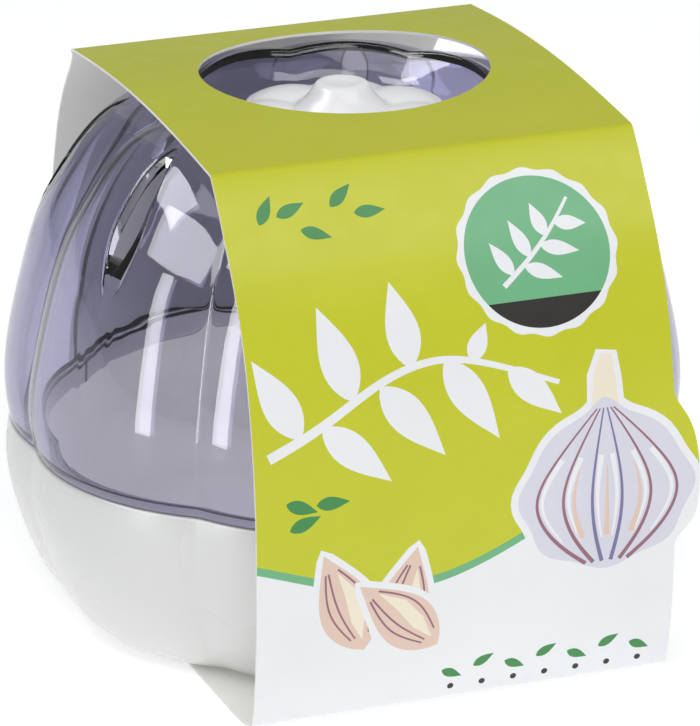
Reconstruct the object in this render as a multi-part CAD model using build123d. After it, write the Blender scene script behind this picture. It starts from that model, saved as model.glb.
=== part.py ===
from build123d import *
import os
import math

# ---------------------------------------------------------------------------
# Garlic keeper: an eight-lobed bulb made of a white base bowl and a clear
# domed lid, a white stem cap that drops into the crater of the lid, and a
# printed card sleeve that wraps the whole bulb.
# Frame: origin on the floor under the middle of the bulb, +Z up, -Y is the
# front, +X runs along the open tunnel of the sleeve. Millimetres.
# ---------------------------------------------------------------------------

# --- lobes ---
N_LOBES = 8                 # cloves around the bulb
LOBE_PHASE = -1.4           # degrees, one crease this far from the front
LOBE_C = 19.0               # centre offset of each clove's arcs
CARD_T = 0.45               # sleeve card thickness
GAP = 0.30                  # general running gap

# --- heights ---
FOOT_Z = CARD_T             # the bowl stands on the card
SEAM_Z = 31.0               # lid meets bowl
CREST_Z = 86.7              # top of the lid's crest
CRATER_FLOOR_Z = 78.9       # floor of the crater in the lid
CRATER_UNDER_Z = 76.7       # underside of that floor

# --- walls ---
BASE_WALL = 2.4
BASE_FLOOR = 2.4
LID_WALL = 2.0
LIP_H = 3.0                 # lid lip below the seam, inside the bowl
LIP_T = 1.1
LEDGE_H = 1.0               # ring that carries the lip, above the seam
LIP_GAP = 0.35

# --- profile of one clove, radius at its middle against height ---
BASE_PROFILE = [(44.0, FOOT_Z), (48.2, 3.2), (51.6, 8.4), (54.4, 16.2),
                (55.9, 26.0), (55.2, SEAM_Z)]
LID_PROFILE = [(55.2, SEAM_Z), (55.9, 36.4), (54.5, 49.2), (52.9, 56.0),
               (51.25, 62.0), (49.4, 67.0), (47.3, 71.0), (45.15, 74.5),
               (43.1, 77.5), (41.0, 80.0), (38.9, 82.0), (36.7, 83.5),
               (34.0, 84.6), (30.2, 85.7), (25.9, CREST_Z)]

# --- crater, bore and vent slots of the lid ---
CRATER_R_TOP = 25.4         # inner edge of the crest
CRATER_R_BOT = 21.7         # at the crater floor
CAP_BORE_R = 13.0           # bore for the cap's spigot
# one leaf-shaped vent slot through the shoulder of each clove, pulled straight
# up: distance from the axis along the clove's middle, half width there
VENT_LEAF = [(49.4, 0.0), (49.0, 0.95), (48.0, 1.85), (46.6, 2.5),
             (45.2, 2.7), (43.6, 2.55), (42.0, 2.3), (40.2, 1.95),
             (38.4, 1.45), (36.8, 0.9), (35.6, 0.45), (35.0, 0.0)]

# --- stem cap ---
CAP_R = 20.5
CAP_C = 12.0
CAP_RIM_Z = 79.5
STEM_TOP_Z = 88.0
SPIGOT_R = CAP_BORE_R - GAP
SPIGOT_Z = 74.6
SHOULDER_R = 14.8

# --- sleeve ---
SLEEVE_W = 71.0
SLEEVE_FOLD_R = 0.9
WIN_A, WIN_B = 24.0, 22.2   # half axes of the window
WIN_X, WIN_Y = 1.2, 1.9
# half width of the back panel against height, drawn in below its fold
BACK_HALF = [(35.1, 87.4), (34.05, 84.6), (33.55, 80.4), (33.3, 72.0),
             (32.95, 61.6), (33.0, 52.0), (35.5, 3.5)]
TAB_OUT = 4.2               # die-cut tab standing past the right edge
TAB_Z0, TAB_Z1 = 24.0, 48.0

WEDGE = 360.0 / N_LOBES


# ---------------------------------------------------------------------------
# helpers
# ---------------------------------------------------------------------------
def offset_profile(pts, t):
    """Profile moved inward (towards the axis side) by t along its normal."""
    out = []
    for i, (r, z) in enumerate(pts):
        a = pts[max(0, i - 1)]
        b = pts[min(len(pts) - 1, i + 1)]
        tr, tz = b[0] - a[0], b[1] - a[1]
        n = math.hypot(tr, tz)
        out.append((r - tz / n * t, z + tr / n * t))
    return out


def radius_at(pts, z):
    for (r0, z0), (r1, z1) in zip(pts, pts[1:]):
        if z0 <= z <= z1:
            return r0 + (r1 - r0) * (z - z0) / (z1 - z0)
    return pts[-1][0] if z > pts[-1][1] else pts[0][0]


def clove(pts, c, smooth=True):
    """Full turn about a vertical axis c away from the main one. The profile
    gives the radius from the main axis at the middle of the clove."""
    zb, zt = pts[0][1], pts[-1][1]
    curve = [(r, 0, z) for r, z in pts]
    edges = [Spline(*curve) if smooth and len(curve) > 2
             else Polyline(*curve),
             Polyline(curve[-1], (c, 0, zt), (c, 0, zb), curve[0])]
    return revolve(make_face(Curve() + edges),
                   axis=Axis((c, 0, 0), (0, 0, 1)), revolution_arc=360)


def wedge(z0, z1, reach=90.0):
    """One clove's share of the circle, centred on +X."""
    h = math.radians(WEDGE / 2)
    face = make_face(Polyline(
        (0, 0, z0), (reach * math.cos(h), -reach * math.sin(h), z0),
        (reach * math.cos(h), reach * math.sin(h), z0), close=True))
    return extrude(face, amount=z1 - z0, dir=(0, 0, 1))


def turned(pts, arc=360):
    """Solid turned about Z from a closed r-z polygon."""
    face = make_face(Polyline(*[(r, 0, z) for r, z in pts], close=True))
    return revolve(face, axis=Axis.Z, revolution_arc=arc)


def ring(one):
    """The eight cloves of a piece joined into one solid."""
    copies = [Rot(0, 0, -90 + LOBE_PHASE + WEDGE / 2 + k * WEDGE) * one
              for k in range(N_LOBES)]
    return copies[0].fuse(*copies[1:])


def sector(solid, z0, z1):
    return solid & wedge(z0, z1)


# ---------------------------------------------------------------------------
# base bowl
# ---------------------------------------------------------------------------
floor_z = FOOT_Z + BASE_FLOOR
inner_rz = offset_profile(BASE_PROFILE, BASE_WALL)
base_r_in = 52.95
inner_pts = [(42.4, floor_z)] + \
    [(r, z) for r, z in inner_rz[1:] if floor_z + 2.0 < z < SEAM_Z - 1.8] + \
    [(base_r_in, SEAM_Z + 1.0)]
base_one = clove(BASE_PROFILE, LOBE_C) - clove(inner_pts, LOBE_C)
base_one -= turned([(0, 0), (37.0, 0), (37.0, FOOT_Z + 0.8),
                    (0, FOOT_Z + 0.8)])
base_body = ring(sector(base_one, 0, 40))

# ---------------------------------------------------------------------------
# lid
# ---------------------------------------------------------------------------
lid_inner = offset_profile(LID_PROFILE, LID_WALL)
lid_inner = [(lid_inner[0][0] - 0.02, SEAM_Z - 1.0)] + lid_inner[1:]
plug = turned([(0, CRATER_UNDER_Z), (23.4, CRATER_UNDER_Z), (24.2, 77.5),
               (24.2, 79.2), (28.4, 85.2), (28.4, 95), (0, 95)])
crater = turned([(0, CRATER_FLOOR_Z), (CRATER_R_BOT, CRATER_FLOOR_Z),
                 (CRATER_R_BOT + 0.4, 80.4), (CRATER_R_TOP - 0.5, 85.6),
                 (CRATER_R_TOP + 0.2, CREST_Z + 0.05),
                 (CRATER_R_TOP + 0.2, 95), (0, 95)])
lip_ro = base_r_in - LIP_GAP
lip_ri = lip_ro - LIP_T
lip = clove([(lip_ro, SEAM_Z - LIP_H), (lip_ro, SEAM_Z)], LOBE_C) \
    + clove([(54.6, SEAM_Z), (54.6, SEAM_Z + LEDGE_H)], LOBE_C)
lip -= clove([(lip_ri, SEAM_Z - LIP_H - 1), (lip_ri, SEAM_Z + 3)], LOBE_C)
lid_one = clove(LID_PROFILE, LOBE_C) - (clove(lid_inner, LOBE_C) - plug)
lid_one = lid_one - crater + lip
lid_one -= Pos(0, 0, CRATER_FLOOR_Z) * Cylinder(CAP_BORE_R, 10)
leaf = VENT_LEAF + [(x, -h) for x, h in VENT_LEAF[-2:0:-1]]
lid_one -= extrude(make_face(Spline(*[(x, y, 55.0) for x, y in leaf],
                                    periodic=True)),
                   amount=45.0, dir=(0, 0, 1))
lid_body = ring(sector(lid_one, SEAM_Z - 5, 100))

# ---------------------------------------------------------------------------
# stem cap
# ---------------------------------------------------------------------------
petal = clove([(CAP_R - 0.35, CAP_RIM_Z), (CAP_R, 80.2), (20.1, 81.25),
               (18.9, 82.2), (17.2, 83.0), (15.2, 83.55), (13.4, 83.76),
               (CAP_C + 0.6, 83.78)], CAP_C)
petal -= turned([(0, 70), (6.0, 70), (6.0, 95), (0, 95)])
# underside of the petals, so the wall stays even
petal -= turned([(SHOULDER_R, CAP_RIM_Z - 1), (16.5, CAP_RIM_Z - 1),
                 (16.3, 80.2), (15.6, 80.8), (SHOULDER_R, 81.0)])
petals = ring(sector(petal, 60, 100))
# neck, shoulder and spigot, turned in one
stem = turned([(0, 86.0), (2.6, 86.0), (3.4, 84.6), (6.0, 82.4),
               (SPIGOT_R - 1.8, 80.6), (SPIGOT_R - 1.8, SPIGOT_Z),
               (SPIGOT_R - 0.6, SPIGOT_Z), (SPIGOT_R, SPIGOT_Z + 0.6),
               (SPIGOT_R, CRATER_FLOOR_Z), (SHOULDER_R, CRATER_FLOOR_Z),
               (SHOULDER_R, 80.6), (12.6, 81.5), (10.6, 82.2), (8.9, 83.0),
               (7.5, 83.9), (6.4, 84.9), (5.5, 85.9), (4.9, 86.8),
               (4.5, 87.4), (4.05, 87.85), (3.3, STEM_TOP_Z),
               (2.2, STEM_TOP_Z - 0.12), (0, STEM_TOP_Z - 0.3)])
inside = turned([(0, SPIGOT_Z - 1), (SPIGOT_R - 1.8, SPIGOT_Z - 1),
                 (SPIGOT_R - 1.8, 80.6), (6.0, 82.4), (3.4, 84.6),
                 (2.6, 86.0), (0, 86.0)])
cap_body = petals - inside + stem

# ---------------------------------------------------------------------------
# card sleeve: closed loop in the YZ plane, run along X
# ---------------------------------------------------------------------------
FRONT = [(-36.1, 87.6), (-39.3, 83.5), (-42.0, 79.4), (-44.7, 75.4),
         (-47.5, 70.6), (-49.8, 65.8), (-51.4, 61.6), (-53.5, 53.5),
         (-55.0, 44.4), (-55.75, 36.6), (-55.85, 25.0), (-55.5, 14.0),
         (-54.6, 7.0), (-53.4, 1.6)]
BACK = [(32.0, 88.2), (36.9, 84.6), (41.3, 80.4), (44.6, 76.0),
        (47.7, 70.6), (49.9, 65.8), (51.5, 61.6), (53.5, 53.5),
        (55.0, 44.4), (55.7, 36.6), (55.85, 25.0), (55.4, 14.0),
        (54.2, 7.0), (52.6, 1.6)]
TOP = [(-36.1, 87.6), (-20.0, 89.0), (0.0, 89.8), (18.0, 89.3), (32.0, 88.2)]
BOTTOM = [(-53.4, 1.6), (-49.5, 0.35), (-45.5, 0.0), (45.5, 0.0),
          (49.0, 0.35), (52.6, 1.6)]


def offset_open(pts, d):
    """Open polyline moved to its left by d."""
    out = []
    for i, (y, z) in enumerate(pts):
        a = pts[max(0, i - 1)]
        b = pts[min(len(pts) - 1, i + 1)]
        ty, tz = b[0] - a[0], b[1] - a[1]
        n = math.hypot(ty, tz)
        out.append((y - tz / n * d, z + ty / n * d))
    return out


def cross_point(p1, d1, p2, d2):
    den = d1[0] * d2[1] - d1[1] * d2[0]
    t = ((p2[0] - p1[0]) * d2[1] - (p2[1] - p1[1]) * d2[0]) / den
    return (p1[0] + d1[0] * t, p1[1] + d1[1] * t)


def inner_loop(t):
    """Corner-true inner copies of the four panels, moved inward by t."""
    f = offset_open(FRONT, t)                     # runs down, inside is +Y
    b = offset_open(BACK, -t)                     # runs down, inside is -Y
    tp = offset_open(TOP, -t)                     # runs +Y, inside is -Z
    bt = offset_open(BOTTOM, t)                   # runs +Y, inside is +Z

    def meet(p, q, pe, qe):
        """Replace end pe of p and end qe of q by their crossing."""
        p1, p2 = (p[0], p[1]) if pe == 0 else (p[-1], p[-2])
        q1, q2 = (q[0], q[1]) if qe == 0 else (q[-1], q[-2])
        x = cross_point(p1, (p2[0] - p1[0], p2[1] - p1[1]),
                        q1, (q2[0] - q1[0], q2[1] - q1[1]))
        p[0 if pe == 0 else -1] = x
        q[0 if qe == 0 else -1] = x
    meet(f, tp, 0, 0)
    meet(b, tp, 0, -1)
    meet(f, bt, -1, 0)
    meet(b, bt, -1, -1)
    return f, b, tp, bt


def loop_face(f, b, tp, bt):
    def v(p):
        return (-SLEEVE_W / 2, p[0], p[1])
    edges = [Spline(*[v(p) for p in f]), Spline(*[v(p) for p in b]),
             Spline(*[v(p) for p in tp]),
             Polyline(*[v(p) for p in bt])]
    return make_face(Curve() + edges)


outer_face = loop_face(FRONT, BACK, TOP, BOTTOM)
inner_face = loop_face(*inner_loop(CARD_T))
outer_solid = extrude(outer_face, amount=SLEEVE_W, dir=(1, 0, 0))
inner_solid = extrude(inner_face, amount=SLEEVE_W, dir=(1, 0, 0))
sleeve_body = outer_solid - inner_solid

# window over the stem cap
window = Pos(WIN_X, WIN_Y, 85.0) * extrude(
    make_face(Ellipse(WIN_A, WIN_B).edges()), amount=10.0, dir=(0, 0, 1))
sleeve_body -= window

# the back panel is a little narrower than the front one
for side in (-1, 1):
    x0 = side * (SLEEVE_W / 2 + 1)
    notch = make_face(Polyline(
        (x0, 31, BACK_HALF[0][1]),
        *[(side * x, 31, z) for x, z in BACK_HALF],
        (x0, 31, BACK_HALF[-1][1]), close=True))
    sleeve_body -= extrude(notch, amount=40.0, dir=(0, 1, 0))

# die-cut tab: the front panel runs on past its right edge as a round tab
tab_strip = extrude(outer_face, amount=TAB_OUT + 6.0, dir=(1, 0, 0)) \
    - extrude(inner_face, amount=TAB_OUT + 6.0, dir=(1, 0, 0))
tab_strip = Pos(SLEEVE_W - 6.0, 0, 0) * tab_strip
tab_mid = (TAB_Z0 + TAB_Z1) / 2
tab_half = (TAB_Z1 - TAB_Z0) / 2
tab_pts = [(SLEEVE_W / 2 - 5.0, TAB_Z0 - 0.8),
           (SLEEVE_W / 2 + 0.4, TAB_Z0),
           (SLEEVE_W / 2 + 2.9, TAB_Z0 + 2.9),
           (SLEEVE_W / 2 + 4.1, TAB_Z0 + 8.0),
           (SLEEVE_W / 2 + 3.9, TAB_Z0 + 14.5),
           (SLEEVE_W / 2 + 2.2, TAB_Z0 + 20.5),
           (SLEEVE_W / 2 + 0.2, TAB_Z1),
           (SLEEVE_W / 2 - 5.0, TAB_Z1 + 2.5)]
tab_face = make_face(Curve() + [
    Spline(*[(x, -60.0, z) for x, z in tab_pts]),
    Line((tab_pts[-1][0], -60.0, tab_pts[-1][1]),
         (tab_pts[0][0], -60.0, tab_pts[0][1]))])
tab_prism = extrude(tab_face, amount=25.0, dir=(0, 1, 0))
sleeve_body += tab_strip & tab_prism


# ---------------------------------------------------------------------------
# export
# ---------------------------------------------------------------------------
def single(shape):
    s = list(shape.solids())
    s.sort(key=lambda q: -q.volume)
    for extra in s[1:]:
        assert extra.volume < 0.5, "unexpected loose solid"
    return s[0]


os.makedirs("parts", exist_ok=True)
for name, shape in (("base", base_body), ("lid", lid_body),
                    ("stem_cap", cap_body), ("sleeve", sleeve_body)):
    export_step(single(shape), os.path.join("parts", name + ".step"))
    print(name, "written")
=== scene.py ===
import bpy
import math
import numpy as np
from mathutils import Vector, Matrix


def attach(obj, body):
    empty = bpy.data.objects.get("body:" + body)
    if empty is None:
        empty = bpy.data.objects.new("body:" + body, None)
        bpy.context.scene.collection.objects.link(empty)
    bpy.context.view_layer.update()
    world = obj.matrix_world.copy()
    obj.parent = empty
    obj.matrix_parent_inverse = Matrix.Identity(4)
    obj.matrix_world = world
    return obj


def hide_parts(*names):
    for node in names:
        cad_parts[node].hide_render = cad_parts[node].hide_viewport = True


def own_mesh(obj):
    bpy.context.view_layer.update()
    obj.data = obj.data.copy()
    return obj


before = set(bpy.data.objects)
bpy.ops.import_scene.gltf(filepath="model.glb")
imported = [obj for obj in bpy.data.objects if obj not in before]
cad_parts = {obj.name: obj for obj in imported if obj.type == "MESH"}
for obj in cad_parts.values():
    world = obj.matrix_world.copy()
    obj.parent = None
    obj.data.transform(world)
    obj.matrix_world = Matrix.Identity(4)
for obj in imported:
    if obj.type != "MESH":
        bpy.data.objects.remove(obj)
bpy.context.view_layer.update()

MM = 0.001

# ---------------------------------------------------------------------------
# dimensions, millimetres, the same as the frame's
# ---------------------------------------------------------------------------
PHASE = -1.4          # degrees, a crease this far from the front
WEDGE = 45.0
C_LOBE = 19.0
SEAM = 31.0
CREST = 86.7
FLOOR_Z = 78.9
UNDER_Z = 76.7
BORE_R = 13.0
CARD_T = 0.45

BASE_PROFILE = [(44.0, 0.45), (48.2, 3.2), (51.6, 8.4), (54.4, 16.2),
                (55.9, 26.0), (55.2, 31.0)]
LID_PROFILE = [(55.2, 31.0), (55.9, 36.4), (54.5, 49.2), (52.9, 56.0),
               (51.25, 62.0), (49.4, 67.0), (47.3, 71.0), (45.15, 74.5),
               (43.1, 77.5), (41.0, 80.0), (38.9, 82.0), (36.7, 83.5),
               (34.0, 84.6), (30.2, 85.7), (25.9, 86.7)]
LID_WALL = 2.0
# the leaf-shaped vent slot of each lobe: distance along the lobe's middle
# from the axis, half width
VENT_LEAF = [(49.4, 0.0), (49.0, 0.95), (48.0, 1.85), (46.6, 2.5),
             (45.2, 2.7), (43.6, 2.55), (42.0, 2.3), (40.2, 1.95),
             (38.4, 1.45), (36.8, 0.9), (35.6, 0.45), (35.0, 0.0)]

PER_LOBE = 48         # columns of each lobe
N_COL = PER_LOBE * 8


# ---------------------------------------------------------------------------
# curves
# ---------------------------------------------------------------------------
def spline(pts, n):
    """n points along the natural cubic spline through pts (any dimension)."""
    p = np.array(pts, float)
    d = np.r_[0, np.cumsum(np.linalg.norm(np.diff(p, axis=0), axis=1))]
    m = len(p)
    a = np.zeros((m, m))
    rhs = np.zeros_like(p)
    h = np.diff(d)
    a[0, 0] = a[-1, -1] = 1
    for i in range(1, m - 1):
        a[i, i - 1], a[i, i], a[i, i + 1] = h[i - 1], 2 * (h[i - 1] + h[i]), h[i]
        rhs[i] = 6 * ((p[i + 1] - p[i]) / h[i] - (p[i] - p[i - 1]) / h[i - 1])
    k = np.linalg.solve(a, rhs)
    s = np.linspace(0, d[-1], n)
    j = np.clip(np.searchsorted(d, s, side="right") - 1, 0, m - 2)
    t0 = (s - d[j])[:, None]
    t1 = (d[j + 1] - s)[:, None]
    hh = h[j][:, None]
    return (k[j] * t1 ** 3 + k[j + 1] * t0 ** 3) / (6 * hh) + \
        (p[j] / hh - k[j] * hh / 6) * t1 + (p[j + 1] / hh - k[j + 1] * hh / 6) * t0


def offset_curve(p, t):
    """An r-z curve moved by t to the left of its run."""
    g = np.gradient(p, axis=0)
    n = np.stack([-g[:, 1], g[:, 0]], 1)
    n /= np.linalg.norm(n, axis=1)[:, None]
    return p + n * t


def arc(c, r, a0, a1, n):
    a = np.radians(np.linspace(a0, a1, n))
    return [(c[0] + r * math.cos(x), c[1] + r * math.sin(x)) for x in a]


def smoothstep(x, a, b):
    t = np.clip((x - a) / (b - a), 0, 1)
    return t * t * (3 - 2 * t)


# ---------------------------------------------------------------------------
# lobed rings
# ---------------------------------------------------------------------------
def columns(soft=0.5):
    """Azimuth of each column and its angle from the middle of its lobe, both
    in radians; soft rounds the creases, in degrees."""
    u = -1 + 2 * np.arange(PER_LOBE) / PER_LOBE
    phi = 22.5 * np.sin(u * math.pi / 2)
    mid = PHASE + 22.5 + WEDGE * np.arange(8)
    th = (mid[:, None] + phi[None, :]).ravel()
    phi = np.tile(phi, 8)
    delta = 22.5 - np.abs(phi)
    rounded = 22.5 - np.sqrt(delta ** 2 + soft ** 2)
    return np.radians(th), np.radians(rounded)


def lobed(R, phi, c=C_LOBE):
    return c * np.cos(phi) + np.sqrt(
        np.maximum((R - c) ** 2 - (c * np.sin(phi)) ** 2, 0))


def ring(r, z, th):
    """Row of points from radius and height, either may be an array."""
    r = np.broadcast_to(np.asarray(r, float), th.shape)
    z = np.broadcast_to(np.asarray(z, float), th.shape)
    return np.stack([r * np.sin(th), -r * np.cos(th), z], 1)


def mesh_object(name, verts, faces, smooth_angle=38.0):
    me = bpy.data.meshes.new(name)
    me.from_pydata([tuple(v) for v in np.asarray(verts) * MM], [],
                   [tuple(f) for f in faces])
    me.validate(clean_customdata=False)
    me.update()
    me.shade_smooth()
    if smooth_angle is not None:
        me.set_sharp_from_angle(angle=math.radians(smooth_angle))
    ob = bpy.data.objects.new(name, me)
    bpy.context.scene.collection.objects.link(ob)
    return ob


def rings_to_mesh(name, rows, loop=False, first=None, last=None, skip=None,
                  extra=None, smooth_angle=38.0):
    """Joins rows of N points by quads. first and last are (x, y, z) of points
    that close the ends as fans. skip(i, j) leaves a quad out."""
    rows = [np.asarray(r, float) for r in rows]
    n = len(rows[0])
    verts = np.concatenate(rows)
    faces = []
    m = len(rows)
    pairs = [(i, i + 1) for i in range(m - 1)] + ([(m - 1, 0)] if loop else [])
    for i, k in pairs:
        for j in range(n):
            if skip is not None and skip(i, j):
                continue
            j2 = (j + 1) % n
            faces.append((i * n + j, i * n + j2, k * n + j2, k * n + j))
    verts = list(verts)
    if first is not None:
        a = len(verts)
        verts.append(np.array(first, float))
        faces += [(a, (j + 1) % n, j) for j in range(n)]
    if last is not None:
        a = len(verts)
        verts.append(np.array(last, float))
        b = (m - 1) * n
        faces += [(a, b + j, b + (j + 1) % n) for j in range(n)]
    if extra is not None:
        faces += extra
    return mesh_object(name, verts, faces, smooth_angle)


# ---------------------------------------------------------------------------
# base bowl
# ---------------------------------------------------------------------------
def make_base():
    th, phi = columns(soft=1.0)
    rows = []
    # underside: recess, foot ring
    rows.append(ring(34.0, 1.25, th))
    rows.append(ring(36.6, 1.25, th))
    rows.append(ring(37.0, 1.1, th))
    rows.append(ring(37.15, 0.6, th))
    rows.append(ring(37.5, 0.45, th))
    rows.append(ring(lobed(42.4, phi), 0.45, th))
    rows.append(ring(lobed(43.4, phi), 0.52, th))
    out = spline(BASE_PROFILE, 90)
    out = out[out[:, 1] > 0.9]
    out = out[out[:, 1] < 30.2]
    for r, z in out:
        rows.append(ring(lobed(r, phi), z, th))
    # rounded rim
    r_top = 55.32
    for r, z in arc((r_top - 0.75, SEAM - 0.85), 0.75, 8, 90, 7):
        rows.append(ring(lobed(r, phi), z, th))
    for r, z in arc((53.3, SEAM - 0.45), 0.35, 90, 180, 5):
        rows.append(ring(lobed(r, phi), z, th))
    # inside wall
    inner = offset_curve(spline(BASE_PROFILE, 60), 2.4)
    inner = inner[(inner[:, 1] > 6.4) & (inner[:, 1] < 29.0)]
    for r, z in inner[::-1]:
        rows.append(ring(lobed(min(r, 52.95), phi), z, th))
    low = [(inner[0][0] - 1.6, 4.6), (inner[0][0] - 4.2, 3.35),
           (inner[0][0] - 8.0, 2.9)]
    top = tuple(inner[0])
    for r, z in spline([top] + low, 12)[1:]:
        rows.append(ring(lobed(r, phi), z, th))
    rows.append(ring(30.0, 2.86, th))
    rows.append(ring(15.0, 2.85, th))
    return rings_to_mesh("base_bowl", rows, first=(0, 0, 1.25),
                         last=(0, 0, 2.85))


# ---------------------------------------------------------------------------
# lid
# ---------------------------------------------------------------------------
def height_above(profile):
    """Function z(r) of a curve whose radius falls as it rises."""
    r = profile[::-1, 0]
    z = profile[::-1, 1]
    return lambda x: np.interp(x, r, z)


def equiv(r, phi, c=C_LOBE):
    return c + np.sqrt(r ** 2 + c ** 2 - 2 * r * c * np.cos(phi))


# --- the patch round a vent slot -------------------------------------------
# Columns -K..K and rows a..b of a lobe are the slot itself. Three rings of
# the grid run round it; the two next to it carry its rounded edge.
K = 4
RINGS = (0.0, 0.10, 0.32, 0.95)
DROP = (0.30, 0.085, 0.0, 0.0)
SIDE = 24                     # rows along the slot's sides


def lid_columns(soft):
    """Columns of the lid: fine next to the middle of each lobe, where the
    slot lies, and again towards the crease."""
    i = np.arange(-PER_LOBE // 2, PER_LOBE // 2)
    n = np.abs(i)
    k = K + 3
    near = 3.2 * n / k
    far = 3.2 + 19.3 * np.sin((n - k) / (PER_LOBE / 2 - k) * math.pi / 2)
    phi = np.where(n <= k, near, far) * np.sign(i)
    return i, phi


def round_phi(phi, soft):
    delta = 22.5 - np.abs(phi)
    return 22.5 - np.sqrt(delta ** 2 + soft ** 2)


def lobe_row(R, phi, z, soft):
    """A full row from one lobe's R, angle in degrees and height."""
    R = np.broadcast_to(np.asarray(R, float), phi.shape)
    z = np.broadcast_to(np.asarray(z, float), phi.shape)
    r = lobed(R, np.radians(round_phi(phi, soft)))
    mid = PHASE + 22.5 + WEDGE * np.arange(8)
    th = np.radians((mid[:, None] + phi[None, :]).ravel())
    return ring(np.tile(r, 8), np.tile(z, 8), th)


def leaf_outline():
    """Right half of the leaf as a function of the length from its top tip:
    point and outward normal, in the plan of the lobe."""
    right = VENT_LEAF[::-1]
    pts = [(x, -h) for x, h in right[4:0:-1]] + right + \
        [(x, -h) for x, h in right[-2:-6:-1]]
    p = spline(pts, 900)
    lo = np.argmin(np.hypot(p[:450, 0] - right[0][0], p[:450, 1]))
    hi = 450 + np.argmin(np.hypot(p[450:, 0] - right[-1][0], p[450:, 1]))
    p = p[lo:hi + 1]
    p[0, 1] = p[-1, 1] = 0.0
    g = np.gradient(p, axis=0)
    n = np.stack([-g[:, 1], g[:, 0]], 1)
    n /= np.linalg.norm(n, axis=1)[:, None]
    n[0], n[-1] = (-1, 0), (1, 0)
    s = np.r_[0, np.cumsum(np.linalg.norm(np.diff(p, axis=0), axis=1))]

    def at(q, off):
        q = np.clip(q, 0, s[-1])
        x = np.interp(q, s, p[:, 0]) + off * np.interp(q, s, n[:, 0])
        y = np.interp(q, s, p[:, 1]) + off * np.interp(q, s, n[:, 1])
        return x, max(y, 0.0)
    length = s[-1]
    corner_lo = s[np.argmin(np.hypot(p[:, 0] - 48.0, p[:, 1] - 1.85))]
    corner_hi = s[np.argmin(np.hypot(p[:, 0] - 36.8, p[:, 1] - 0.9))]
    return at, length, corner_lo, corner_hi


def slot_patch():
    """R and angle of each node of the patch's rows, from below the slot to
    above it, and how deep the node sits under the surface."""
    at, length, s_lo, s_hi = leaf_outline()
    a, b = 3, 3 + SIDE
    i_all, phi0 = lid_columns(0)
    side = np.linspace(s_lo, s_hi, SIDE + 1)
    step = abs(side[1] - side[0])
    R = np.zeros((b + 4, PER_LOBE))
    phi = np.zeros_like(R)
    drop = np.zeros_like(R)
    for row in range(b + 4):
        for c, i in enumerate(i_all):
            n = abs(i)
            if n > K + 3:
                continue
            dx = max(n - K, 0)
            dy = max(a - row, row - b, 0)
            d = max(dx, dy)
            low = row < (a + b) / 2
            if d == 0 and n < K and a < row < b:
                x, y = at(side[row - a], 0.0)      # inside the hole, unused
                y *= n / K
            else:
                off = RINGS[d]
                if dy == 0 or (dx == d and d > 0):
                    q = side[min(max(row, a), b) - a]
                    if d > 0 and (row <= a or row >= b):
                        k = d - (a - row if low else row - b)
                        q += (-1 if low else 1) * 0.15 * step * k
                else:
                    m = min(n, K)
                    tip = length if low else 0.0
                    cor = s_lo if low else s_hi
                    q = tip + (cor - tip) * m / K
                    if n >= K:
                        k = d - dx
                        q += (1 if low else -1) * 0.15 * step * k
                x, y = at(q, off)
                if n == 0:
                    y = 0.0
            rr = math.hypot(x, y)
            ang = math.atan2(y, x)
            R[row, c] = equiv(rr, ang)
            phi[row, c] = math.degrees(ang) * np.sign(i)
            drop[row, c] = DROP[d]
        # out to the crease at the R of the patch's edge
        edge = np.flatnonzero(np.abs(i_all) == K + 3)[-1]
        Re, pe = R[row, edge], phi[row, edge]
        for c, i in enumerate(i_all):
            if abs(i) > K + 3:
                w = (abs(phi0[c]) - 3.2) / 19.3
                R[row, c] = Re
                phi[row, c] = (pe + (22.5 - pe) * w) * np.sign(i)
    return R, phi, drop, a, b


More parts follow.
